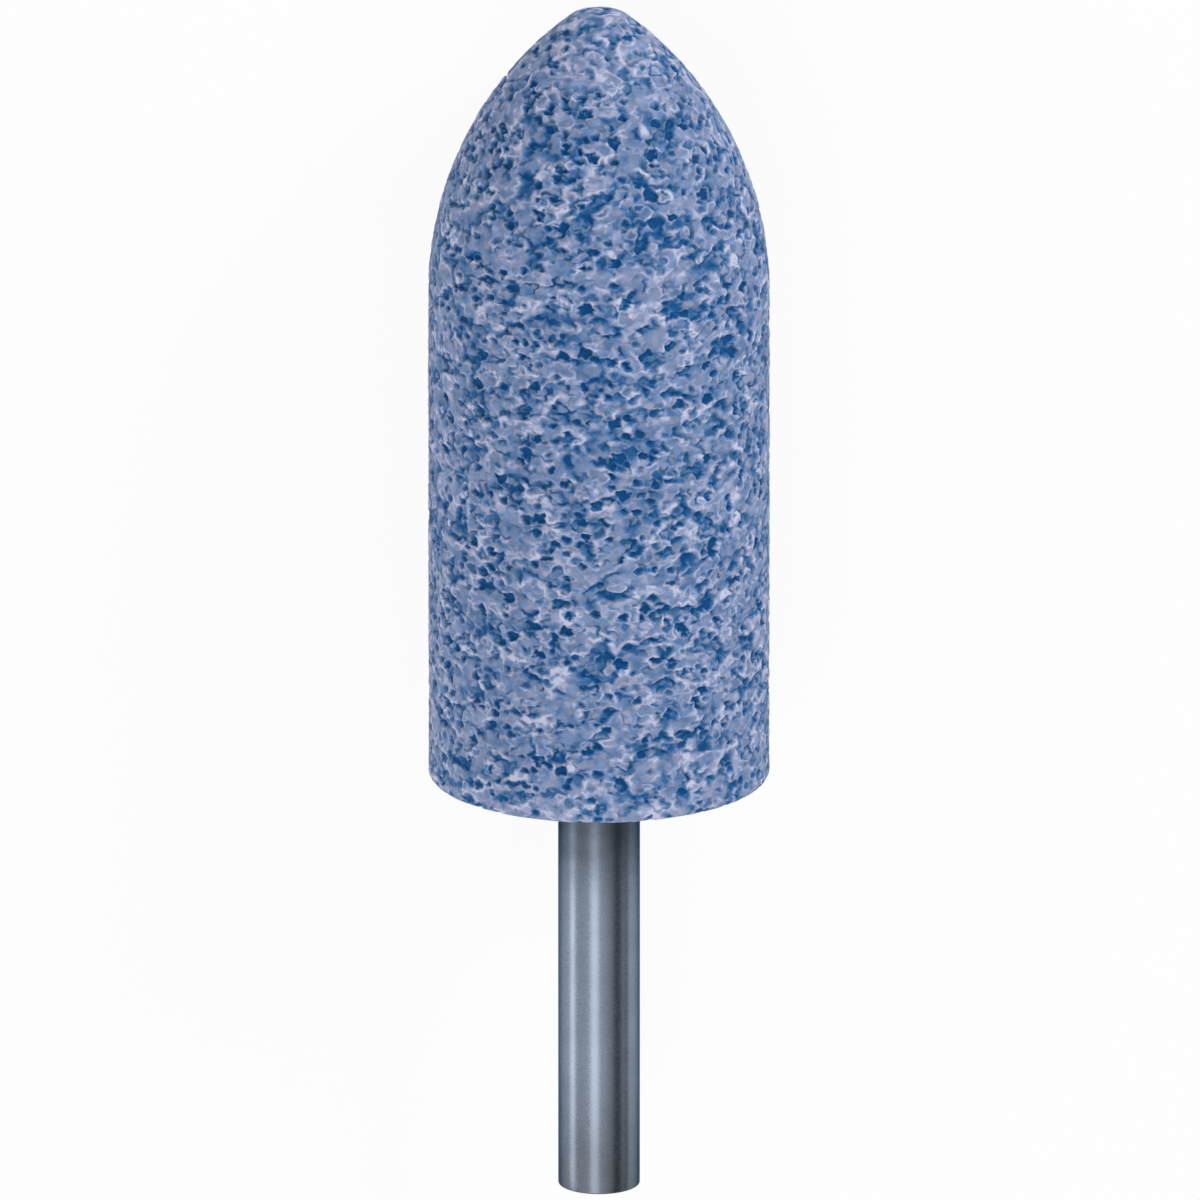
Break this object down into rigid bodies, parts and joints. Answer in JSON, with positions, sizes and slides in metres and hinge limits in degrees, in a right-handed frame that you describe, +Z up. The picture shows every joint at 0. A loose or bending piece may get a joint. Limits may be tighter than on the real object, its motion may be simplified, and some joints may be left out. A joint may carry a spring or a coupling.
{
  "type": "mounted point",
  "caption": "Mounted abrasive point with a pointed-arch head on a plain round steel shank, for grinding with a handheld rotary tool.",
  "frame": {"origin": "on the surface that the point lies on, below the middle of its overall length", "axes": "+Y along the turning axis towards the tip of the head, the shank towards -Y, +Z up"},
  "size_m": [0.025, 0.0894, 0.025],
  "materials": {
    "abrasive": "matte",
    "steel": "satin",
    "cement": "matte"
  },
  "bodies": {
    "root": {"abrasive_head": "abrasive", "spindle": "steel", "cement": "cement"}
  },
  "joints": []
}
